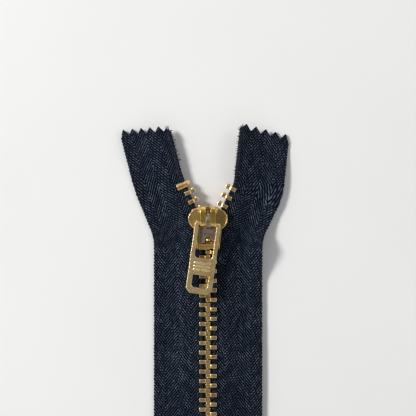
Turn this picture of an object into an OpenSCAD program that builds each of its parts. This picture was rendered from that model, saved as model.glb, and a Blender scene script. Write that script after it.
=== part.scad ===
// Brass trouser zipper, lying face up with its slider near the top.
// The chain runs along Y, the tapes spread along X, and the back of the tapes lies on Z = 0.
// Each side is drawn as the right-hand one, with x growing outwards, and the left one is mirrored.

/* [Chain] */
// Length from the top stop to the bottom stop
chain_length = 152.4; // [110:0.1:180]
// Distance from one tooth to the next in a row
pitch = 2.54; // [2.45:0.01:2.7]
// Height of a tooth through the tape
tooth_height = 2.5; // [2.2:0.05:2.6]
// Thickness of a tooth along the chain
tooth_thickness = 1.05; // [0.9:0.01:1.1]
// Length of a tooth across the chain
tooth_length = 2.9; // [2.8:0.05:3]
// How far a closed tooth reaches past the middle of the chain
tooth_reach = 0.58; // [0.5:0.01:0.65]
// Diameter of the cord that the teeth are clamped on
bead_diameter = 1.4; // [1.2:0.05:1.45]

/* [Tape] */
// Width of the closed zipper over both tapes
closed_width = 29.1; // [26:0.1:34]
// Thickness of the tape
tape_thickness = 0.55; // [0.4:0.05:0.6]
// Tape below the bottom stop
tail_length = 18; // [10:1:30]
// Width of one pinked tooth at the tape's lower ends
pink_pitch = 2.4; // [2:0.1:3]
// Depth of one pinked tooth
pink_depth = 1.6; // [1:0.1:2]

/* [Slider] */
// Width across the slider's shoulders
slider_width = 10.5; // [10.2:0.1:11]
// Width of the slider's narrow end
slider_neck = 6.1; // [6:0.1:6.2]
// Thickness of the top plate and of the bottom plate
plate = 0.8; // [0.7:0.05:0.9]
// Clear height between the plates
channel = 2.9; // [2.8:0.05:3]
// Gap between the upper and lower flanges, for the tape
slit = 1; // [0.9:0.05:1.1]

/* [Pull] */
// Width of the pull tab
pull_width = 6.95; // [6.95:0.05:7.4]
// Length of the pull tab from its pivot
pull_length = 18.7; // [17:0.1:22]
// Thickness of the pull tab
pull_thickness = 1.1; // [0.9:0.05:1.1]
// Turn of the pull tab to the left in its own plane
pull_turn = 8; // [0:1:8]
// Slope of the pull tab down to the chain
pull_slope = 0.5; // [0:0.1:0.6]

/* [Hidden] */
$fn = 48;

brass = [0.8, 0.62, 0.3];
dull_brass = [0.47, 0.41, 0.33];
navy = [0.07, 0.08, 0.14];

eps = 0.01;
fit_gap = 0.02;
lap_angle = 0.05;
bead_r = bead_diameter / 2;
bead_x = tooth_length - tooth_reach - 0.72;
tip = -bead_x - tooth_reach;
chain_z = plate + channel / 2;

// The rows leave the closed chain on arcs. Each list is [right, left]: bend, its radius, the run of
// straight row after it, the bend back towards the middle, its radius, and the last straight run.
bend = [26.2, 22.4];
bend_r = [22, 25];
run = [7.1, 8.4];
back_bend = [20, 8];
back_r = [6, 30];
last_run = [14.5, 12.7];
cord_last_run = [14.3, 10.2];
// The top ends are cut askew, and each cut turns about a point this far out from the cord
cut_skew = [-8, 9.5];
cut_pivot = 6.3;
// The pitch of the pinking at each top end, and how far out its first peak is
top_pink = [2.7, 2.35];
top_peak = [1.05, 0];
// Where each row's teeth stand, counted from the start of its arc
phase = [-1.21, -0.2];
group = 13;
throat_teeth = [1, 2];

top_stop_s = 17.4;
bottom_stop_length = 3;
y_stop = top_stop_s - chain_length - bend_r[1] * tan(bend[1] / 2);
y_hinge = y_stop + bottom_stop_length / 2;
y_end = y_stop - tail_length;
y_top = 27.6;
// Half the way from the tape's lowest end to its highest, which puts the origin at the middle
y_middle = (y_end + y_top) / 2;

tape_edge = closed_width / 2 - bead_x;
slope_start = 4.2;
slope_end = 8.2;

half_shoulder = slider_width / 2;
half_neck = slider_neck / 2;
flange = 0.5;
neck_taper = 0.55;
neck_y = -0.25;
shoulder_r = 2.8;
shoulder_x = half_shoulder - shoulder_r;
shoulder_y = 2.5;
slider_front = 5.9;
half_front = 2.7;
slider_rear = -5.4;
z_top = 2 * plate + channel;

bar_r = 0.5;
bar_y = 1.2;
bar_z = z_top + 1.05;
arm_inner = pull_width / 2 - 1.1;
lug_inner = 0.7;
lug_outer = 2;
spring_gap = 0.05;
spring_thickness = 0.35;
arch_y = 2.2;
arch_r = 2.2;
foot_y = arch_y + arch_r - spring_thickness / 2;

function start_y(i) = -bend_r[i] * tan(bend[i] / 2);
function arc_length(i) = bend_r[i] * bend[i] * PI / 180;
function tooth_s(i, k) = phase[i] + k * pitch;
// The last closed tooth that still clears the bottom stop
function last_closed(i) = floor((start_y(i) + phase[i] - y_hinge - tooth_thickness / 2) / pitch);

// ---- frames ----

module centred() {
    translate([0, -y_middle, 0]) children();
}

module on_side(i) {
    centred() mirror([i, 0, 0]) children();
}

// Moves from the start of the bend to its end
module past_bend(i, share) {
    translate([bend_r[i], 0, 0]) rotate([0, 0, -bend[i] * share]) translate([-bend_r[i], 0, 0]) children();
}

// The frame of the cord's centre, s along the row from the start of the bend
module along(i, s) {
    translate([bead_x, start_y(i), 0]) {
        if (s < 0) translate([0, s, 0]) children();
        else if (s < arc_length(i)) past_bend(i, s / arc_length(i)) children();
        else past_bend(i, 1) translate([0, s - arc_length(i), 0]) children();
    }
}

// ---- sweeps of a cross-section, drawn with x outwards and y up ----

module straight(length) {
    translate([0, length, 0]) rotate([90, 0, 0]) linear_extrude(length) children();
}

// A turn also reaches a little way into the straight runs before and after it
module turn_out(radius, angle, before, after) {
    translate([radius, 0, 0]) rotate([0, 0, 180 - angle - after])
        rotate_extrude(angle = angle + before + after, $fn = 180)
            mirror([1, 0]) translate([-radius, 0]) children();
}

module turn_back(radius, angle) {
    translate([-radius, 0, 0]) rotate([0, 0, -lap_angle])
        rotate_extrude(angle = angle + 2 * lap_angle, $fn = 180)
            translate([radius, 0]) children();
}

// Each run takes two children: the section of its straight lengths, and that of its turns

// From the bottom stop to the middle of the bend
module main_run(i) {
    translate([bead_x, y_hinge, 0]) straight(start_y(i) - y_hinge) children(0);
    translate([bead_x, start_y(i), 0]) turn_out(bend_r[i], bend[i] / 2, lap_angle, 0) children(1);
}

// From the middle of the bend to a top end, past which the tape has room to be cut askew
module top_run(i, last) {
    translate([bead_x, start_y(i), 0]) {
        past_bend(i, 0.5) turn_out(bend_r[i], bend[i] / 2, 0, lap_angle) children(1);
        past_bend(i, 1) {
            straight(run[i]) children(0);
            translate([0, run[i], 0]) {
                turn_back(back_r[i], back_bend[i]) children(1);
                last_frame(i) straight(last) children(0);
            }
        }
    }
}

module last_frame(i) {
    translate([-back_r[i], 0, 0]) rotate([0, 0, back_bend[i]]) translate([back_r[i], 0, 0]) children();
}

module tail_run() {
    translate([bead_x, y_end, 0]) straight(y_hinge - y_end) children();
}

// ---- cross-sections ----

// Each section can be drawn thinner, so that a turn enters the end faces of the straight lengths

module tape_section(thinner = 0) {
    high = chain_z + tape_thickness / 2 - thinner;
    low = chain_z - tape_thickness / 2 + thinner;
    inner = bead_r + thinner;
    outer = tape_edge - thinner;
    top = tape_thickness - thinner;
    polygon([[inner, low], [slope_start, low], [slope_end, thinner], [outer, thinner],
             [outer, top], [slope_end, top], [slope_start, high], [inner, high]]);
}

module cord_section(thinner = 0) {
    translate([0, chain_z]) circle(bead_r - thinner);
}

// Pinking: all that lies past a zigzag edge whose peaks are at y = 0, the first of them at x = first
module pinking(pitch, first) {
    count = ceil((tape_edge + 2 * bead_r) / pitch) + 1;
    zigzag = [for (k = [-1:count], valley = [0, 1]) [first + (k + valley / 2) * pitch, -valley * pink_depth]];
    translate([0, 0, -1]) linear_extrude(chain_z + 2)
        polygon(concat([[-2 * pitch, 10]], zigzag, [[first + (count + 2) * pitch, 10]]));
}

// ---- tapes and cords ----

module tape(i) {
    color(navy) on_side(i) main_run(i) {
        tape_section();
        tape_section(eps);
    }
}

module top_tape(i) {
    color(navy) on_side(i) difference() {
        top_run(i, last_run[i] + 3) {
            tape_section();
            tape_section(eps);
        }
        translate([bead_x, start_y(i), 0]) past_bend(i, 1) translate([0, run[i], 0]) last_frame(i)
            translate([cut_pivot, last_run[i], 0]) rotate([0, 0, cut_skew[i]]) translate([-cut_pivot, 0, 0])
                pinking(top_pink[i], top_peak[i]);
    }
}

module tail_tape(i) {
    color(navy) on_side(i) difference() {
        tail_run() tape_section();
        translate([bead_x, y_end, 0]) mirror([0, 1, 0]) pinking(pink_pitch, pink_pitch / 2);
    }
}

module cord(i) {
    color(navy) on_side(i) main_run(i) {
        cord_section();
        cord_section(eps);
    }
}

module top_cord(i) {
    color(navy) on_side(i) top_run(i, cord_last_run[i]) {
        cord_section();
        cord_section(eps);
    }
}

module tail_cord(i) {
    color(navy) on_side(i) tail_run() cord_section();
}

// ---- teeth and stops ----

// One tooth, clamped on the cord at x = 0 with its tip towards the middle of the chain
module tooth() {
    nib_r = 0.42;
    nib_height = 0.42;
    socket_r = 0.54;
    socket_depth = 0.36;
    neck_start = tip + 1.35;
    neck_step = 0.14;
    jaw_end = tip + tooth_length;
    half = tooth_thickness / 2;
    difference() {
        union() {
            translate([tip, -half, -tooth_height / 2 + neck_step])
                cube([tooth_length, tooth_thickness, tooth_height - 2 * neck_step]);
            translate([neck_start, -half, -tooth_height / 2])
                cube([jaw_end - neck_start, tooth_thickness, tooth_height]);
            translate([tip + 0.56, half - eps, 0]) rotate([-90, 0, 0]) cylinder(h = nib_height, r = nib_r);
        }
        translate([tip + 0.56, -half - eps, 0]) rotate([-90, 0, 0])
            cylinder(h = socket_depth, r = socket_r);
        translate([0, -half - 1, 0]) rotate([-90, 0, 0])
            cylinder(h = tooth_thickness + 2, r = bead_r + fit_gap);
        translate([0.3, -half - 1, -tape_thickness / 2 - fit_gap])
            cube([tooth_length, tooth_thickness + 2, tape_thickness + 2 * fit_gap]);
    }
}

module teeth(i, first, last) {
    color(brass) on_side(i) for (k = [first:last])
        along(i, tooth_s(i, k)) translate([0, 0, chain_z]) tooth();
}

// The closed teeth, counted down from the slider in four groups
module closed_teeth(i, g) {
    last = g == 4 ? last_closed(i) : g * group - 1;
    teeth(i, -last, -(g - 1) * group);
}

module top_stop() {
    barrel_r = 1.08;
    dome_x = -0.75;
    outer_x = 2;
    color(brass) on_side(1) along(1, top_stop_s) translate([0, 0, chain_z]) difference() {
        union() {
            translate([dome_x, 0, 0]) sphere(barrel_r);
            translate([dome_x, 0, 0]) rotate([0, 90, 0]) cylinder(h = outer_x - dome_x, r = barrel_r);
        }
        translate([0, -2, 0]) rotate([-90, 0, 0]) cylinder(h = 4, r = bead_r + fit_gap);
        translate([0.3, -2, -tape_thickness / 2 - fit_gap])
            cube([3, 4, tape_thickness + 2 * fit_gap]);
    }
}

module bottom_stop() {
    end_r = 1.4;
    end_x = 1.35;
    color(brass) centred() translate([0, y_stop - bottom_stop_length / 2, chain_z]) difference() {
        translate([0, bottom_stop_length, 0]) rotate([90, 0, 0]) linear_extrude(bottom_stop_length) {
            for (x = [-end_x, end_x]) translate([x, 0]) circle(end_r);
            square([2 * end_x, 2 * end_r], center = true);
        }
        for (side = [-1, 1]) {
            translate([side * bead_x, -1, 0]) rotate([-90, 0, 0])
                cylinder(h = bottom_stop_length + 2, r = bead_r + fit_gap);
            translate([side * (bead_x + 1.8), bottom_stop_length / 2, 0])
                cube([3, bottom_stop_length + 2, tape_thickness + 2 * fit_gap], center = true);
        }
    }
}

// ---- slider ----

// The plates' outline, two round shoulders, a narrower front and a straight neck, drawn smaller all
// round by inset
module slider_outline(inset = 0) {
    front_corner = 0.6;
    for (x = [-shoulder_x, shoulder_x]) translate([x, shoulder_y]) circle(r = shoulder_r - inset, $fn = 72);
    polygon([[half_front - inset, 0], [half_front - inset, slider_front - front_corner - inset / 2],
             [half_front - front_corner - inset / 2, slider_front - inset],
             [front_corner - half_front + inset / 2, slider_front - inset],
             [inset - half_front, slider_front - front_corner - inset / 2], [inset - half_front, 0]]);
    polygon([[half_neck - inset, slider_rear + inset], [half_neck + neck_taper - inset, neck_y],
             [half_neck + neck_taper - inset, shoulder_y], [inset - half_neck - neck_taper, shoulder_y],
             [inset - half_neck - neck_taper, neck_y], [inset - half_neck, slider_rear + inset]]);
}

// The Y-shaped way that the two rows take through the slider
module row_way() {
    wide = half_shoulder - flange;
    narrow = half_neck - flange;
    middle = narrow + neck_taper;
    polygon([[wide, slider_front + 1], [wide, 1.75], [middle, neck_y], [narrow, slider_rear],
             [narrow, slider_rear - 1], [-narrow, slider_rear - 1], [-narrow, slider_rear],
             [-middle, neck_y], [-wide, 1.75], [-wide, slider_front + 1]]);
}

// Side view of a lug, with x along the slider and y up
module lug_profile() {
    outer = 1.5;
    inner = 0.8;
    rear = 1.9;
    front = slider_front - outer;
    axis_z = z_top + 1.2;
    finger_end = axis_z + 0.75;
    finger = (outer + inner) / 2;
    difference() {
        union() {
            for (y = [rear, front]) translate([y, axis_z]) circle(outer);
            translate([rear, axis_z - outer]) square([front - rear, 2 * outer]);
            translate([front, z_top - plate / 2]) square([outer, axis_z - z_top + plate / 2]);
        }
        for (y = [rear, front]) translate([y, axis_z]) circle(inner);
        translate([rear - inner, z_top]) square([front - rear + 2 * inner, axis_z - z_top]);
        translate([rear, axis_z - inner]) square([front - rear, 2 * inner]);
        translate([rear - outer - 1, 0]) square([outer + 1 + eps, finger_end]);
        translate([rear - outer - 1, 0]) square([slider_front - rear + outer, z_top - plate / 2]);
    }
    translate([rear - sqrt(finger * finger - (finger_end - axis_z) * (finger_end - axis_z)), finger_end])
        circle((outer - inner) / 2);
}

// The broad foot that joins a lug's front end to the plate, round on top and nearest the middle
module lug_foot() {
    foot_inner = 0.45;
    foot_outer = 2.5;
    foot_rear = 3.85;
    foot_front = 5.8;
    foot_height = 1.9;
    corner = 0.55;
    middle = (foot_inner + foot_outer) / 2;
    intersection() {
        translate([0, 0, z_top - eps]) linear_extrude(foot_height + eps)
            polygon([[foot_inner, foot_rear + corner], [foot_inner + corner, foot_rear],
                     [foot_outer - corner, foot_rear], [foot_outer, foot_rear + corner],
                     [foot_outer, foot_front - corner], [foot_outer - corner, foot_front],
                     [foot_inner + corner / 2, foot_front], [foot_inner, foot_front - corner / 2]]);
        translate([middle, foot_rear - 1, z_top + foot_height - 1.35]) rotate([-90, 0, 0])
            cylinder(h = foot_front - foot_rear + 2, r = 1.35);
    }
}

module slider_body() {
    post_front = 5.2;
    post_rear = 2.4;
    post_half = 1.2;
    ridge_r = 0.2;
    ridge_half = 2.4;
    rim_width = 0.25;
    rim_height = 0.12;
    slot_half = 1.6;
    slot_rear = -4;
    slot_front = -3.2;
    hump_r = 0.78;
    hump_sunk = 0.3;
    color(brass) centred() {
        difference() {
            union() {
                linear_extrude(plate) slider_outline();
                translate([0, 0, z_top - plate]) linear_extrude(plate) slider_outline();
                // the top plate's edge is turned up in a low rim
                translate([0, 0, z_top - eps]) linear_extrude(rim_height + eps) difference() {
                    slider_outline();
                    slider_outline(rim_width);
                }
                translate([0, 0, plate - eps]) linear_extrude(channel + 2 * eps) difference() {
                    slider_outline();
                    row_way();
                    translate([-slider_width, 3.4]) square([2 * slider_width, 4]);
                }
                translate([0, 0, plate - eps]) linear_extrude(channel + 2 * eps)
                    polygon([[0.15, post_rear], [post_half, post_front - 0.4], [post_half - 0.4, post_front],
                             [0.4 - post_half, post_front], [-post_half, post_front - 0.4], [-0.15, post_rear]]);
                for (side = [0, 1]) mirror([side, 0, 0]) translate([lug_inner, 0, 0])
                    rotate([90, 0, 90]) linear_extrude(lug_outer - lug_inner) lug_profile();
                for (side = [0, 1]) mirror([side, 0, 0]) lug_foot();
                for (y = [-5.05, -4.45]) translate([-ridge_half, y, z_top]) rotate([0, 90, 0])
                    cylinder(h = 2 * ridge_half, r = ridge_r);
                translate([0, slot_front, z_top - hump_sunk]) sphere(hump_r);
            }
            for (side = [0, 1]) mirror([side, 0, 0]) translate([half_neck - flange - eps, slider_rear - 1,
                chain_z - slit / 2]) cube([slider_width, 20, slit]);
            translate([-slot_half, slot_rear, z_top - plate - 1])
                cube([2 * slot_half, slot_front - slot_rear, plate + 2]);
        }
    }
}

// The flat spring that keeps the slider from creeping: its stem arches over the pull's bar between the
// lugs, and its prong drops through the top plate between two teeth
module lock_spring() {
    z0 = z_top + spring_gap;
    stem_rear = 0.62;
    stem_front = 0.3;
    half_plate = 2.3;
    plate_front = 0.5;
    plate_rear = -3.35;
    notch_r = 1.08;
    prong_x = -1.3;
    prong_width = 0.55;
    prong_tip = chain_z + tooth_height / 2 - 0.45;
    arch_z = z0 + spring_thickness;
    color(dull_brass) centred() {
        translate([0, 0, z0]) linear_extrude(spring_thickness) {
            difference() {
                translate([-half_plate, plate_rear]) square([2 * half_plate, plate_front - plate_rear]);
                translate([0, plate_rear]) circle(notch_r);
            }
            translate([prong_x - 0.3, -3.8]) square([prong_width + 0.3, 1.2]);
        }
        translate([prong_x, -3.8, prong_tip]) cube([prong_width, 0.4, z0 + 0.1 - prong_tip]);
        // the stem narrows towards its foot
        intersection() {
            translate([-stem_rear, 0, 0]) rotate([90, 0, 90]) linear_extrude(2 * stem_rear) {
                difference() {
                    translate([arch_y, arch_z]) circle(arch_r);
                    translate([arch_y, arch_z]) circle(arch_r - spring_thickness);
                    translate([arch_y - 3, arch_z - 3]) square([6, 3]);
                }
                translate([foot_y, arch_z]) circle(spring_thickness);
                translate([arch_y - arch_r, z0]) square([spring_thickness, spring_thickness + eps]);
            }
            linear_extrude(z_top + 2 * arch_r) polygon([
                [-stem_rear, arch_y - arch_r], [stem_rear, arch_y - arch_r], [stem_front, foot_y + 1],
                [-stem_front, foot_y + 1]]);
        }
    }
}

// ---- pull ----

module pull_outline() {
    half = pull_width / 2;
    top_cut = 0.7;
    end_cut = 1.1;
    polygon([[half - top_cut, pull_thickness / 2], [half, pull_thickness / 2 - top_cut],
             [half, end_cut - pull_length], [half - end_cut, -pull_length],
             [end_cut - half, -pull_length], [-half, end_cut - pull_length],
             [-half, pull_thickness / 2 - top_cut], [top_cut - half, pull_thickness / 2]]);
}

// A window between two distances from the pivot, with round lower corners
module window(near, far, half, corner) {
    translate([-half, corner - far]) square([2 * half, far - near - corner]);
    translate([corner - half, -far]) square([2 * (half - corner), corner + eps]);
    for (x = [corner - half, half - corner]) translate([x, corner - far]) circle(corner);
}

module pull_tab() {
    panel_start = 9.2;
    panel_end = 13.7;
    lower_end = 17.1;
    lower_half = 2.15;
    ridge_r = 0.24;
    ridge_sunk = 0.08;
    ridge_pitch = 0.9;
    color(brass) centred() translate([0, bar_y, bar_z]) rotate([0, 0, -pull_turn]) rotate([pull_slope, 0, 0]) {
        difference() {
            translate([0, 0, -pull_thickness / 2]) linear_extrude(pull_thickness) difference() {
                pull_outline();
                window(-1, panel_start, arm_inner, 0.9);
                window(panel_end, lower_end, lower_half, 0.8);
            }
            // the arms' ends are round about the pivot
            translate([-pull_width, 0, -1]) cube([2 * pull_width, 2, 2]);
        }
        for (side = [0, 1]) mirror([side, 0, 0]) translate([arm_inner, 0, 0]) rotate([0, 90, 0])
            cylinder(h = pull_width / 2 - arm_inner - 0.25, r = pull_thickness / 2);
        translate([-arm_inner - eps, 0, 0]) rotate([0, 90, 0])
            cylinder(h = 2 * (arm_inner + eps), r = bar_r);
        // three grip ridges across the panel
        for (k = [-1:1]) translate([-lower_half, k * ridge_pitch - (panel_start + panel_end) / 2,
            pull_thickness / 2 - ridge_sunk]) rotate([0, 90, 0]) cylinder(h = 2 * lower_half, r = ridge_r);
    }
}

slider_body();
lock_spring();
pull_tab();
top_stop();
bottom_stop();
for (i = [0, 1]) {
    side = i == 0 ? "right" : "left";
    tape(i);
    top_tape(i);
    tail_tape(i);
    cord(i);
    top_cord(i);
    tail_cord(i);
    teeth(i, throat_teeth[0], throat_teeth[1]);
    teeth(i, 3, 4 - i);
    for (g = [1:4]) closed_teeth(i, g);
    for (n = [1:3]) teeth(i, 4 - i + n, 4 - i + n);
}
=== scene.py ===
import math
import random

import bmesh
import bpy
import numpy as np
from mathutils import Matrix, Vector


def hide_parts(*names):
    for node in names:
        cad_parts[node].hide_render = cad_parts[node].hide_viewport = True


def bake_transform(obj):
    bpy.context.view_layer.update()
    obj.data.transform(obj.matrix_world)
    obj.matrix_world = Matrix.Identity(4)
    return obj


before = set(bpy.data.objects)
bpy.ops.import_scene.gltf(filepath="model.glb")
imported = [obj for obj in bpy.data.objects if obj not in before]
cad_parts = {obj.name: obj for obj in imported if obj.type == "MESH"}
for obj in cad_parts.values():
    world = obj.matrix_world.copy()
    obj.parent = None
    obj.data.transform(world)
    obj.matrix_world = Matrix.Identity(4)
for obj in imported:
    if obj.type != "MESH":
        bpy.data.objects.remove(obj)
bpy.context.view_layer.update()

MM = 0.001
rng = random.Random(7)

# ---- the rows' geometry, in millimetres, as the CAD part has it ----
# Index 0 is the right side and 1 the left; x grows outwards, and y is counted from the slider.

Y_MIDDLE = 65.175
BEAD_X = 1.6
BEAD_R = 0.7
CHAIN_Z = 2.25
BEND = [math.radians(26.2), math.radians(22.4)]
BEND_R = [22.0, 25.0]
RUN = [7.1, 8.4]
BACK_BEND = [math.radians(20.0), math.radians(8.0)]
BACK_R = [6.0, 30.0]
LAST_RUN = [14.5, 12.7]
CORD_LAST_RUN = [14.3, 10.2]
CUT_SKEW = [math.radians(-8.0), math.radians(9.5)]
CUT_PIVOT = 6.3
TOP_PINK = [2.7, 2.35]
TOP_PEAK = [1.05, 0.0]
PINK_PITCH = 2.4
PINK_DEPTH = 1.6
TAPE_EDGE = 12.95
TAPE_INNER = 0.3
TAPE_THICK = 0.5
Y_END = -157.95
SIDE = ["right", "left"]
SIGN = [1.0, -1.0]
START_Y = [-BEND_R[i] * math.tan(BEND[i] / 2) for i in (0, 1)]
# Where each tape is divided into a lower and an upper piece
SPLIT_Y = -70.0

# ---- the cloth's own edges, in millimetres ----

# The outer corners of the top ends are rounded off, and the outer edges are scalloped
CORNER_DROP = 0.9
CORNER_FROM = 12.1
SCALLOP = 0.27
SCALLOP_PITCH = 0.9
SCALLOP_REACH = 0.7
# How far out from the cord the tape slopes down to the floor
SLOPE_ACROSS = (2.6, 10.2)
# How high each inner edge curls at the top end, from where to where along y, and how far out
CURL = [1.3, 0.0]
CURL_REACH = (8.0, 20.0)
CURL_WIDTH = 4.0
# How many loose yarns stand out past each cord's end, and how far they and the tufts reach
SPRAY = [6, 14]
FRAY_REACH = [0.75, 1.15]
FRAY_STEPS = 4


def top_start(i):
    """How far along row i its last straight run starts."""
    return BEND_R[i] * BEND[i] + RUN[i] + BACK_R[i] * BACK_BEND[i]


def row(i, s):
    """x, y and heading of row i's cord at each s along it; the heading turns from +y towards +x."""
    s = np.asarray(s, float)
    arc = BEND_R[i] * BEND[i]
    back = BACK_R[i] * BACK_BEND[i]
    turn = np.clip(s, 0, arc) / BEND_R[i]
    x = BEAD_X + BEND_R[i] * (1 - np.cos(turn))
    y = START_Y[i] + np.minimum(s, 0) + BEND_R[i] * np.sin(turn)
    run = np.clip(s - arc, 0, RUN[i])
    x = x + run * math.sin(BEND[i])
    y = y + run * math.cos(BEND[i])
    untwist = np.clip(s - arc - RUN[i], 0, back) / BACK_R[i]
    x = x + BACK_R[i] * (np.cos(BEND[i] - untwist) - math.cos(BEND[i]))
    y = y + BACK_R[i] * (math.sin(BEND[i]) - np.sin(BEND[i] - untwist))
    last = np.maximum(s - top_start(i), 0)
    end_heading = BEND[i] - BACK_BEND[i]
    x = x + last * math.sin(end_heading)
    y = y + last * math.cos(end_heading)
    return x, y, turn - untwist


def place(i, s, w, z):
    """Points at s along row i, w out from its cord and z above the floor, in metres."""
    x, y, a = row(i, s)
    px = SIGN[i] * (x + w * np.cos(a))
    py = y - w * np.sin(a) + Y_MIDDLE
    return np.stack([px, py, z + np.zeros_like(px)], -1) * MM


def smooth(lo, hi, v):
    t = np.clip((np.asarray(v, float) - lo) / (hi - lo), 0, 1)
    return t * t * (3 - 2 * t)


def bump(centre, half, v):
    """A smooth hill, 1 at centre and 0 beyond half each way."""
    return 1 - smooth(0, half, np.abs(np.asarray(v, float) - centre))


# ---- camera, light and floor ----

VIEW_WIDTH = 0.11107
LENS = 150.0
SENSOR = 36.0
scene = bpy.context.scene
camera = bpy.data.objects.new("camera", bpy.data.cameras.new("camera"))
scene.collection.objects.link(camera)
camera.data.lens = LENS
camera.data.sensor_width = SENSOR
camera.location = (0, 0.07065, VIEW_WIDTH * LENS / SENSOR + 0.003)
camera.data.clip_start = 0.01
camera.data.clip_end = 10
scene.camera = camera
scene.view_settings.view_transform = "Standard"


class Nodes:
    """Short names for building a material's nodes."""

    def __init__(self, name):
        self.material = bpy.data.materials.new(name)
        self.material.use_nodes = True
        self.tree = self.material.node_tree
        self.shader = self.tree.nodes["Principled BSDF"]

    def new(self, kind, **settings):
        node = self.tree.nodes.new(kind)
        for key, value in settings.items():
            setattr(node, key, value)
        return node

    def put(self, socket, value):
        if isinstance(value, bpy.types.NodeSocket):
            self.tree.links.new(value, socket)
        elif isinstance(value, (tuple, list)) and len(value) == 3 and socket.type == "RGBA":
            socket.default_value = (*value, 1)
        else:
            socket.default_value = value

    def math(self, operation, a, b=0.0, clamp=False):
        node = self.new("ShaderNodeMath", operation=operation, use_clamp=clamp)
        self.put(node.inputs[0], a)
        self.put(node.inputs[1], b)
        return node.outputs[0]

    def attribute(self, name):
        return self.new("ShaderNodeAttribute", attribute_name=name).outputs["Fac"]

    def ramp(self, fac, stops):
        node = self.new("ShaderNodeValToRGB")
        while len(node.color_ramp.elements) < len(stops):
            node.color_ramp.elements.new(0.5)
        for element, (position, colour) in zip(node.color_ramp.elements, stops):
            element.position = position
            element.color = (*colour, 1) if isinstance(colour, tuple) else (colour, colour, colour, 1)
        self.put(node.inputs[0], fac)
        return node.outputs[0]

    def mix(self, fac, a, b, blend="MIX"):
        node = self.new("ShaderNodeMix", data_type="RGBA", blend_type=blend)
        self.put(node.inputs[0], fac)
        self.put(node.inputs[6], a)
        self.put(node.inputs[7], b)
        return node.outputs[2]

    def noise(self, scale, detail=3.0, rough=0.5, vector=None, distortion=0.0):
        node = self.new("ShaderNodeTexNoise")
        node.inputs["Scale"].default_value = scale
        node.inputs["Detail"].default_value = detail
        node.inputs["Roughness"].default_value = rough
        node.inputs["Distortion"].default_value = distortion
        self.put(node.inputs["Vector"], vector or self.object_point())
        return node.outputs["Fac"]

    def object_point(self):
        return self.new("ShaderNodeTexCoord").outputs["Object"]

    def combine(self, x, y, z=0.0):
        node = self.new("ShaderNodeCombineXYZ")
        for socket, value in zip(node.inputs, (x, y, z)):
            self.put(socket, value)
        return node.outputs[0]

    def bump(self, height, strength, distance):
        node = self.new("ShaderNodeBump")
        node.inputs["Strength"].default_value = strength
        node.inputs["Distance"].default_value = distance
        self.put(node.inputs["Height"], height)
        self.put(self.shader.inputs["Normal"], node.outputs[0])

    def set(self, **values):
        for key, value in values.items():
            self.put(self.shader.inputs[key.replace("_", " ")], value)
        return self.material


world = bpy.data.worlds.new("studio")
scene.world = world
world.use_nodes = True
tree = world.node_tree
sky = tree.nodes.new("ShaderNodeTexCoord")
split = tree.nodes.new("ShaderNodeSeparateXYZ")
ramp = tree.nodes.new("ShaderNodeValToRGB")
ramp.color_ramp.elements[0].position = 0.0
ramp.color_ramp.elements[0].color = (1.15, 1.16, 1.18, 1)
ramp.color_ramp.elements[1].position = 1.0
ramp.color_ramp.elements[1].color = (0.13, 0.13, 0.13, 1)
tree.links.new(sky.outputs["Generated"], split.inputs[0])
tree.links.new(split.outputs["Z"], ramp.inputs[0])
tree.links.new(ramp.outputs[0], tree.nodes["Background"].inputs["Color"])
tree.nodes["Background"].inputs["Strength"].default_value = 0.85

TARGET = Vector((0, 0.065, 0.002))


def area_light(name, direction, distance, size, power, colour=(1, 1, 1)):
    data = bpy.data.lights.new(name, "AREA")
    data.shape = "DISK"
    data.size = size
    data.energy = power
    data.color = colour
    lamp = bpy.data.objects.new(name, data)
    scene.collection.objects.link(lamp)
    away = Vector(direction).normalized()
    lamp.location = TARGET + away * distance
    lamp.rotation_mode = "QUATERNION"
    lamp.rotation_quaternion = away.to_track_quat("Z", "Y")
    return lamp


area_light("key", (-0.86, 0.42, 0.78), 1.15, 0.3, 11.6, (1, 0.99, 0.975))
area_light("fill", (0.75, 0.35, 0.6), 1.0, 0.4, 0.9, (0.97, 0.98, 1))

floor_nodes = Nodes("floor_white")
floor_tones = [(0.3, (0.83, 0.83, 0.825)), (0.7, (0.86, 0.86, 0.855))]
floor_tone = floor_nodes.ramp(floor_nodes.noise(18, 4), floor_tones)
floor_nodes.bump(floor_nodes.noise(900, 2), 0.15, 0.0001)
floor_nodes.set(Base_Color=floor_tone, Roughness=0.75)
bm = bmesh.new()
bmesh.ops.create_grid(bm, x_segments=40, y_segments=40, size=1.2)
for v in bm.verts:
    v.co.z = -0.0001 - 0.00005 * (1 + math.sin(9 * v.co.x) * math.cos(7 * v.co.y))
floor_mesh = bpy.data.meshes.new("floor")
bm.to_mesh(floor_mesh)
bm.free()
floor = bpy.data.objects.new("floor", floor_mesh)
scene.collection.objects.link(floor)
floor_mesh.materials.append(floor_nodes.material)

# ---- materials ----


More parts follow.
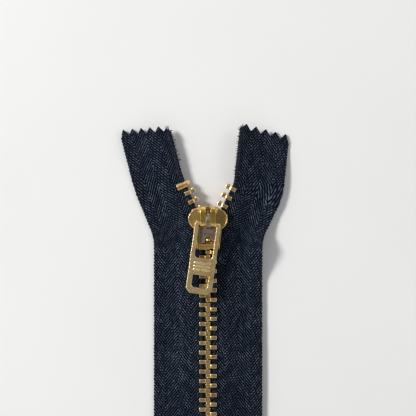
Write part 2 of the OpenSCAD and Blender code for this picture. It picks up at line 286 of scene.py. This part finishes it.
def metal(name, face, shade, edge, rough, edge_rough, painted_shade_below=None, scratch=0.1, mottle=0.5):
    """Worn metal: bright polished edges, a duller face, tarnish in the hollows and fine scratches."""
    m = Nodes(name)
    pointy = m.new("ShaderNodeNewGeometry").outputs["Pointiness"]
    worn = m.math("MULTIPLY", m.math("SUBTRACT", pointy, 0.505), 14.0, clamp=True)
    hollow = m.math("MULTIPLY", m.math("SUBTRACT", 0.495, pointy), 14.0, clamp=True)
    patch = m.noise(420, 5, 0.6)
    grain = m.noise(3200, 3, 0.6)
    stretched = m.new("ShaderNodeMapping")
    stretched.inputs["Scale"].default_value = (6000, 500, 3000)
    m.put(stretched.inputs[0], m.object_point())
    brushed = m.noise(1.0, 3, 0.6, stretched.outputs[0])
    tone = m.mix(m.ramp(patch, [(0.44, 0.0), (0.6, 1.0)]), face, shade)
    tone = m.mix(m.ramp(grain, [(0.5, 0.0), (0.66, mottle)]), tone, tuple(0.35 * c for c in shade))
    # Painted shade: below a given height the colour turns darker brown, where the body lies under the pull;
    # the surface is also made rougher there.
    if painted_shade_below:
        low, high, colour = painted_shade_below
        height = m.new("ShaderNodeSeparateXYZ")
        m.put(height.inputs[0], m.object_point())
        reach = m.math("MULTIPLY", m.math("SUBTRACT", high, height.outputs[2]), 1 / (high - low), clamp=True)
        reach = m.math("MULTIPLY", reach, m.math("SUBTRACT", 1.0, worn), clamp=True)
        tone = m.mix(reach, tone, colour)
    tone = m.mix(hollow, tone, tuple(0.3 * c for c in shade))
    tone = m.mix(worn, tone, edge)
    dulness = m.math("ADD", m.math("MULTIPLY", patch, 0.2), rough - 0.1)
    dulness = m.math("SUBTRACT", dulness, m.math("MULTIPLY", worn, rough - edge_rough), clamp=True)
    if painted_shade_below:
        dulness = m.math("ADD", dulness, m.math("MULTIPLY", reach, 0.22), clamp=True)
    dents = m.noise(1500, 2, 0.5)
    rough_face = m.math("ADD", m.math("MULTIPLY", brushed, 0.5), m.math("MULTIPLY", grain, 0.6))
    m.bump(m.math("ADD", rough_face, m.math("MULTIPLY", dents, 1.6)), scratch, 0.00009)
    return m.set(Base_Color=tone, Metallic=1.0, Roughness=dulness)


brass_teeth = metal("brass_teeth", (0.97, 0.7, 0.3), (0.62, 0.37, 0.12), (1.0, 0.9, 0.6), 0.34, 0.24)
# The slider's darker brown below 4.3 to 4.8 mm is painted shade under the pull.
brass_slider = metal("brass_slider", (0.92, 0.6, 0.14), (0.58, 0.36, 0.09), (1.0, 0.8, 0.36), 0.3, 0.18,
                     painted_shade_below=(0.0043, 0.0048, (0.36, 0.26, 0.13)), scratch=0.35)
brass_pull = metal("brass_pull", (1.0, 0.78, 0.4), (0.72, 0.5, 0.2), (1.0, 0.88, 0.52), 0.38, 0.2,
                   scratch=0.45)
spring_metal = metal("spring_metal", (0.36, 0.29, 0.23), (0.24, 0.18, 0.14), (0.66, 0.56, 0.45), 0.5, 0.34,
                     scratch=0.25)

# The weave's measures, in millimetres
ZONE = 3.45
ZONE_START = -0.51
RIB = 0.92
RIB_SLOPE = 1.25
DASH = 0.62
CORD_WRAP = 0.92
WEAVE_RELIEF = 0.17


def navy_tape():
    m = Nodes("navy_twill")
    s = m.attribute("along")
    w = m.attribute("across")
    folded = m.math("PINGPONG", m.math("SUBTRACT", w, ZONE_START), ZONE)
    lean = m.math("ADD", s, m.math("MULTIPLY", folded, RIB_SLOPE))
    wobble = m.noise(0.9, 2, 0.5, m.combine(s, w))
    lean = m.math("ADD", lean, m.math("MULTIPLY", wobble, 0.4))
    ribs = m.math("DIVIDE", lean, RIB)
    wave = m.math("COSINE", m.math("MULTIPLY", ribs, 2 * math.pi))
    across = m.math("DIVIDE", w, DASH)
    stagger = m.math("MULTIPLY", m.math("FLOOR", ribs), 0.37)
    dashes = m.math("ADD", across, stagger)
    dash = m.math("COSINE", m.math("MULTIPLY", dashes, 2 * math.pi))
    high = m.math("ADD", m.math("MULTIPLY", wave, 0.36), 0.5)
    high = m.math("ADD", high, m.math("MULTIPLY", dash, 0.17))
    cell = m.new("ShaderNodeTexWhiteNoise", noise_dimensions="2D")
    m.put(cell.inputs["Vector"], m.combine(m.math("FLOOR", ribs), m.math("FLOOR", dashes)))
    luck = m.math("POWER", cell.outputs["Value"], 2.6)
    threads = m.noise(1.0, 2, 0.7, m.combine(m.math("MULTIPLY", s, 1.2), m.math("MULTIPLY", w, 9.0)))
    patchy = m.noise(0.16, 2, 0.5, m.combine(s, w))
    # Painted shade and light: the colour follows the ribs' height, near black in the grooves and paler navy
    # on the rib tops, and pale blue-grey glints are painted on the highest dashes.
    groove_shade, middle, top = (0.0001, 0.0002, 0.0008), (0.004, 0.0078, 0.019), (0.045, 0.07, 0.125)
    jitter = m.noise(1.0, 3, 0.75, m.combine(m.math("MULTIPLY", s, 2.1), m.math("MULTIPLY", w, 2.4)))
    high = m.math("ADD", high, m.math("MULTIPLY", m.math("SUBTRACT", jitter, 0.5), 1.2))
    base = m.ramp(high, [(0.3, groove_shade), (0.58, middle), (1.0, top)])
    base = m.mix(m.math("MULTIPLY", patchy, 0.35), base, (0.003, 0.004, 0.008))
    painted_glint = m.math("MULTIPLY", m.ramp(high, [(0.62, 0.0), (0.92, 1.0)]), luck)
    painted_glint = m.math("MULTIPLY", painted_glint, m.ramp(threads, [(0.35, 0.2), (0.7, 1.0)]), clamp=True)
    colour = m.mix(painted_glint, base, (0.34, 0.41, 0.52))
    m.bump(m.math("ADD", high, m.math("MULTIPLY", threads, 0.7)), 1.0, 0.00022)
    m.shader.inputs["Specular IOR Level"].default_value = 0.05
    return m.set(Base_Color=colour, Roughness=0.6)


def navy_cord():
    m = Nodes("navy_cord")
    s = m.attribute("along")
    w = m.attribute("across")
    turn = m.math("ADD", m.math("DIVIDE", s, CORD_WRAP), m.math("MULTIPLY", w, 0.35))
    wave = m.math("COSINE", m.math("MULTIPLY", turn, 2 * math.pi))
    wrap = m.math("ADD", m.math("MULTIPLY", wave, 0.5), 0.5)
    strands = m.noise(1.0, 2, 0.7, m.combine(m.math("MULTIPLY", s, 3.0), m.math("MULTIPLY", w, 2.2)))
    # Painted shade and light: the cord is darker in the grooves between the wrap's turns and lighter on
    # their ridges.
    base = m.ramp(wrap, [(0.2, (0.0004, 0.0006, 0.0014)), (0.95, (0.009, 0.012, 0.024))])
    colour = m.mix(m.ramp(strands, [(0.52, 0.0), (0.75, 0.8)]), base, (0.1, 0.13, 0.2))
    m.bump(m.math("ADD", wrap, strands), 0.9, 0.0002)
    m.shader.inputs["Sheen Weight"].default_value = 0.01
    m.shader.inputs["Sheen Roughness"].default_value = 0.4
    m.shader.inputs["Specular IOR Level"].default_value = 0.12
    return m.set(Base_Color=colour, Roughness=0.45)


tape_material = navy_tape()
cord_material = navy_cord()

# ---- tapes ----


def fold(w):
    """The pattern's own way across: it turns back at each zone's edge, which makes the herringbone."""
    t = np.mod(w - ZONE_START, 2 * ZONE)
    return ZONE - np.abs(t - ZONE)


def weave_height(s, w):
    lean = (s + RIB_SLOPE * fold(w)) / RIB
    dash = np.cos(2 * np.pi * (w / DASH + 0.37 * np.floor(lean)))
    return 0.5 + 0.36 * np.cos(2 * np.pi * lean) + 0.14 * dash


def centre_z(i, s, w):
    """Height of the tape's middle: level by the teeth, then down to the floor, its outer edge lifted."""
    low = TAPE_THICK / 2 + 0.08
    z = CHAIN_Z + (low - CHAIN_Z) * smooth(*SLOPE_ACROSS, w)
    y = row(i, s)[1]
    edge = smooth(7.5, TAPE_EDGE, w)
    wave = 0.5 + 0.5 * np.sin(s / 9.0 + 2.2 * i) * np.cos(s / 23.0)
    if i == 0:
        lift = 0.75 + 0.35 * wave + 3.2 * bump(-3.0, 12.0, y)
        lift = lift * smooth(24.0, 14.0, y)
        z = z + CURL[i] * smooth(*CURL_REACH, y) * smooth(CURL_WIDTH, 0.5, w)
    else:
        lift = 0.12 * wave + 0.5 * smooth(16.0, 26.0, y)
    return z + lift * edge


def cut_s(i, w, end):
    """How far along the row the pinked cut lies, at w out from the cord."""
    if end > 0:
        along = (w - CUT_PIVOT) / math.cos(CUT_SKEW[i]) + CUT_PIVOT - TOP_PEAK[i]
        valley = np.abs(np.mod(along / TOP_PINK[i] + 0.5, 1.0) - 0.5) * 2
        cut = top_start(i) + LAST_RUN[i] + (w - CUT_PIVOT) * math.tan(CUT_SKEW[i]) - PINK_DEPTH * valley
        return cut - CORNER_DROP * smooth(CORNER_FROM, TAPE_EDGE, w)
    peak = np.abs(np.mod(w / PINK_PITCH, 1.0) - 0.5) * 2
    return Y_END - START_Y[i] + PINK_DEPTH * peak


# The size of the meshes' cells, and how far from a cut they are stretched to meet it
CELL_W = 0.155
CELL_S = 0.205
CORD_CELL = 0.16
CORD_SIDES = 20
END_ROOM = 5.0


def grid_object(name, rings, wrap, material, along, across):
    """A closed mesh from rows of points, each row a ring, with its first and last rings filled."""
    n_rows, n_ring = rings.shape[:2]
    idx = np.arange(n_rows * n_ring).reshape(n_rows, n_ring)
    nxt = np.roll(idx, -1, axis=1)
    quads = np.stack([idx[:-1], nxt[:-1], nxt[1:], idx[1:]], -1).reshape(-1, 4)
    if wrap < 0:
        quads = quads[:, ::-1]
    faces = quads.tolist()
    mesh = bpy.data.meshes.new(name)
    caps = end_caps(idx[0], idx[-1], wrap, n_ring)
    mesh.from_pydata(rings.reshape(-1, 3).tolist(), [], faces + caps)
    mesh.validate()
    for key, values in (("along", along), ("across", across)):
        layer = mesh.attributes.new(key, "FLOAT", "POINT")
        layer.data.foreach_set("value", np.asarray(values, np.float32).ravel())
    mesh.materials.append(material)
    mesh.shade_smooth()
    obj = bpy.data.objects.new(name, mesh)
    scene.collection.objects.link(obj)
    return obj


def end_caps(first, last, wrap, n):
    """Quads that close a ring whose points run out along the top and back along the bottom."""
    half = n // 2
    caps = []
    for k in range(half - 1):
        a, b = k, k + 1
        c, d = n - 2 - k, n - 1 - k
        caps.append([int(first[a]), int(first[d]), int(first[c]), int(first[b])])
        caps.append([int(last[a]), int(last[b]), int(last[c]), int(last[d])])
    if wrap < 0:
        caps = [quad[::-1] for quad in caps]
    return caps


def tape_piece(i, name, s_from, s_to, cut_low, cut_high):
    """One length of tape i, with real ribs on its face, scalloped edges and, where cut, a pinked end."""
    w_line = np.linspace(TAPE_INNER, TAPE_EDGE, int((TAPE_EDGE - TAPE_INNER) / CELL_W) + 1)
    rows = int((s_to - s_from) / CELL_S) + 1
    s_line = np.linspace(s_from, s_to, rows)
    s, w = np.meshgrid(s_line, w_line, indexing="ij")
    if cut_high:
        s = s + smooth(s_to - END_ROOM, s_to, s) * (cut_s(i, w, 1) - s_to)
    if cut_low:
        s = s + smooth(s_from + END_ROOM, s_from, s) * (cut_s(i, w, -1) - s_from)
    at_edge = smooth(TAPE_EDGE - SCALLOP_REACH, TAPE_EDGE, w)
    uneven = 0.75 + 0.25 * np.sin(s * 1.7 + i) * np.cos(s * 0.61)
    scallop = SCALLOP * uneven * np.abs(np.sin(np.pi * s / SCALLOP_PITCH))
    out = w + (scallop - 0.6 * SCALLOP) * at_edge
    edge = np.minimum(1.0, (TAPE_EDGE - w) / 0.35 + 0.25)
    middle = centre_z(i, s, w)
    relief = WEAVE_RELIEF * weave_height(s, w)
    upper = place(i, s, out, middle + (TAPE_THICK / 2 - 0.1) * edge + relief * edge)
    lower = place(i, s, out, np.maximum(middle - TAPE_THICK / 2 * edge, 0.02))
    rings = np.concatenate([upper, lower[:, ::-1]], axis=1)
    along = np.concatenate([s, s[:, ::-1]], axis=1)
    across = np.concatenate([w, w[:, ::-1]], axis=1)
    return grid_object(name, rings, -SIGN[i], tape_material, along, across)


def cord_piece(i, name, s_from, s_to):
    """One length of the cord woven into tape i's edge, its wrapping thread standing out in low ribs."""
    rows = int((s_to - s_from) / CORD_CELL) + 1
    s_line = np.linspace(s_from, s_to, rows)
    turn = np.linspace(0, 2 * np.pi, CORD_SIDES, endpoint=False)
    s, t = np.meshgrid(s_line, turn, indexing="ij")
    wrap = 0.5 + 0.5 * np.cos(2 * np.pi * s / CORD_WRAP + 2.0 * np.sin(t / 2))
    end = np.sqrt(np.clip(np.minimum(s - s_from, s_to - s) / 0.5 + 0.15, 0, 1))
    fuzz = 0.5 + 0.5 * np.sin(s * 5.3 + 3 * np.sin(t * 2)) * np.cos(s * 2.1 + t)
    r = BEAD_R * (0.8 + 0.14 * wrap + 0.06 * fuzz) * end
    points = place(i, s, r * np.cos(t), CHAIN_Z + r * np.sin(t))
    points[..., 2] += CURL[i] * MM * smooth(*CURL_REACH, row(i, s)[1])
    return grid_object(name, points, SIGN[i], cord_material, s, t)


def tube(points, radius, thin):
    """Vertices and faces of a closed, six-sided thread along points, which tapers to its end."""
    sides = 6
    verts, faces = [], []
    last = len(points) - 1
    for k, point in enumerate(points):
        ahead = points[min(k + 1, last)] - points[max(k - 1, 0)]
        aside = ahead.orthogonal().normalized()
        third = ahead.cross(aside).normalized()
        r = radius * (1 + (thin - 1) * k / last)
        for j in range(sides):
            turn = 2 * math.pi * j / sides
            verts.append(point + r * (math.cos(turn) * aside + math.sin(turn) * third))
    for k in range(last):
        for j in range(sides):
            a, b = k * sides + j, k * sides + (j + 1) % sides
            faces.append([a, b, b + sides, a + sides])
    top = last * sides
    faces += [[3, 2, 1, 0], [5, 4, 3, 0]]
    faces += [[top, top + 1, top + 2, top + 3], [top, top + 3, top + 4, top + 5]]
    return verts, faces


def frayed(i, name, roots, reach, radius):
    """Loose yarn ends: each root is where along the row, how far out and how high one starts."""
    verts, faces = [], []
    for s_root, w_root, z_root, s_lean in roots:
        out = reach * rng.uniform(0.45, 1.0)
        bow = rng.uniform(-0.35, 0.35)
        path = []
        for step in range(FRAY_STEPS + 1):
            t = step / FRAY_STEPS
            w = w_root - out * t * (1 - abs(s_lean) * 0.6)
            s = s_root + out * t * s_lean + bow * out * t * t
            z = z_root + 0.25 * out * math.sin(2.2 * t)
            path.append(Vector(place(i, s, w, z).tolist()))
        new_verts, new_faces = tube(path, radius * MM * rng.uniform(0.8, 1.2), 0.45)
        faces += [[len(verts) + index for index in face] for face in new_faces]
        verts += new_verts
    mesh = bpy.data.meshes.new(name)
    mesh.from_pydata([tuple(v) for v in verts], [], faces)
    mesh.validate()
    for key in ("along", "across"):
        layer = mesh.attributes.new(key, "FLOAT", "POINT")
        layer.data.foreach_set("value", [rng.uniform(0, 5) for _ in verts])
    mesh.materials.append(cord_material)
    mesh.shade_smooth()
    obj = bpy.data.objects.new(name, mesh)
    scene.collection.objects.link(obj)
    return obj


def edge_roots(i, cord_end):
    """Tufts along the inner edge above the last tooth, and a spray of yarns past the cord's end."""
    roots = []
    height = CHAIN_Z + CURL[i]
    s = top_start(i) + 1.5
    while s < cord_end:
        roots.append((s, -0.5, height + rng.uniform(-0.35, 0.35), rng.uniform(-0.3, 0.9)))
        s += rng.uniform(0.28, 0.62)
    for _ in range(SPRAY[i]):
        w = rng.uniform(-0.4, 0.9)
        roots.append((cord_end - 0.3, w, height + rng.uniform(-0.3, 0.3), rng.uniform(0.6, 1.5)))
    return roots


def between(s_value, i):
    return s_value - START_Y[i]


for i in (0, 1):
    side = SIDE[i]
    s_split = between(SPLIT_Y, i)
    s_low = between(Y_END, i)
    s_high = top_start(i) + LAST_RUN[i]
    cord_high = top_start(i) + CORD_LAST_RUN[i]
    low_tape = tape_piece(i, side + "_twill_lower", s_low, s_split, True, False)
    high_tape = tape_piece(i, side + "_twill_upper", s_split, s_high, False, True)
    low_cord = cord_piece(i, side + "_bead_lower", s_low + 0.4, s_split)
    high_cord = cord_piece(i, side + "_bead_upper", s_split, cord_high)
    for piece in (low_tape, low_cord):
        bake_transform(piece)
    fray = frayed(i, side + "_fray", edge_roots(i, cord_high), FRAY_REACH[i], 0.1)
    for piece in (high_tape, high_cord, fray):
        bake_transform(piece)
    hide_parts(side + "_tail_tape", side + "_tape")
    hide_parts(side + "_top_tape")
    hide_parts(side + "_tail_cord", side + "_cord")
    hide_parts(side + "_top_cord")

# ---- metal ----


def soften(node, voxel, rounds, material):
    """Rounds a CAD node's edges: an even mesh of small cells, smoothed a few times."""
    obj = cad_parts[node]
    cells = obj.modifiers.new("cells", "REMESH")
    cells.mode = "VOXEL"
    cells.voxel_size = voxel * MM
    cells.use_smooth_shade = True
    even = obj.modifiers.new("even", "SMOOTH")
    even.factor = 0.5
    even.iterations = rounds
    obj.data.materials.clear()
    obj.data.materials.append(material)
    obj.data.shade_smooth()
    return obj


soften("slider_body", 0.09, 3, brass_slider)
soften("pull_tab", 0.075, 14, brass_pull)
soften("lock_spring", 0.06, 3, spring_metal)
soften("top_stop", 0.07, 4, brass_teeth)
soften("bottom_stop", 0.08, 4, brass_teeth)
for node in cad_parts:
    if "teeth" in node or "tooth" in node:
        soften(node, 0.09, 8, brass_teeth)
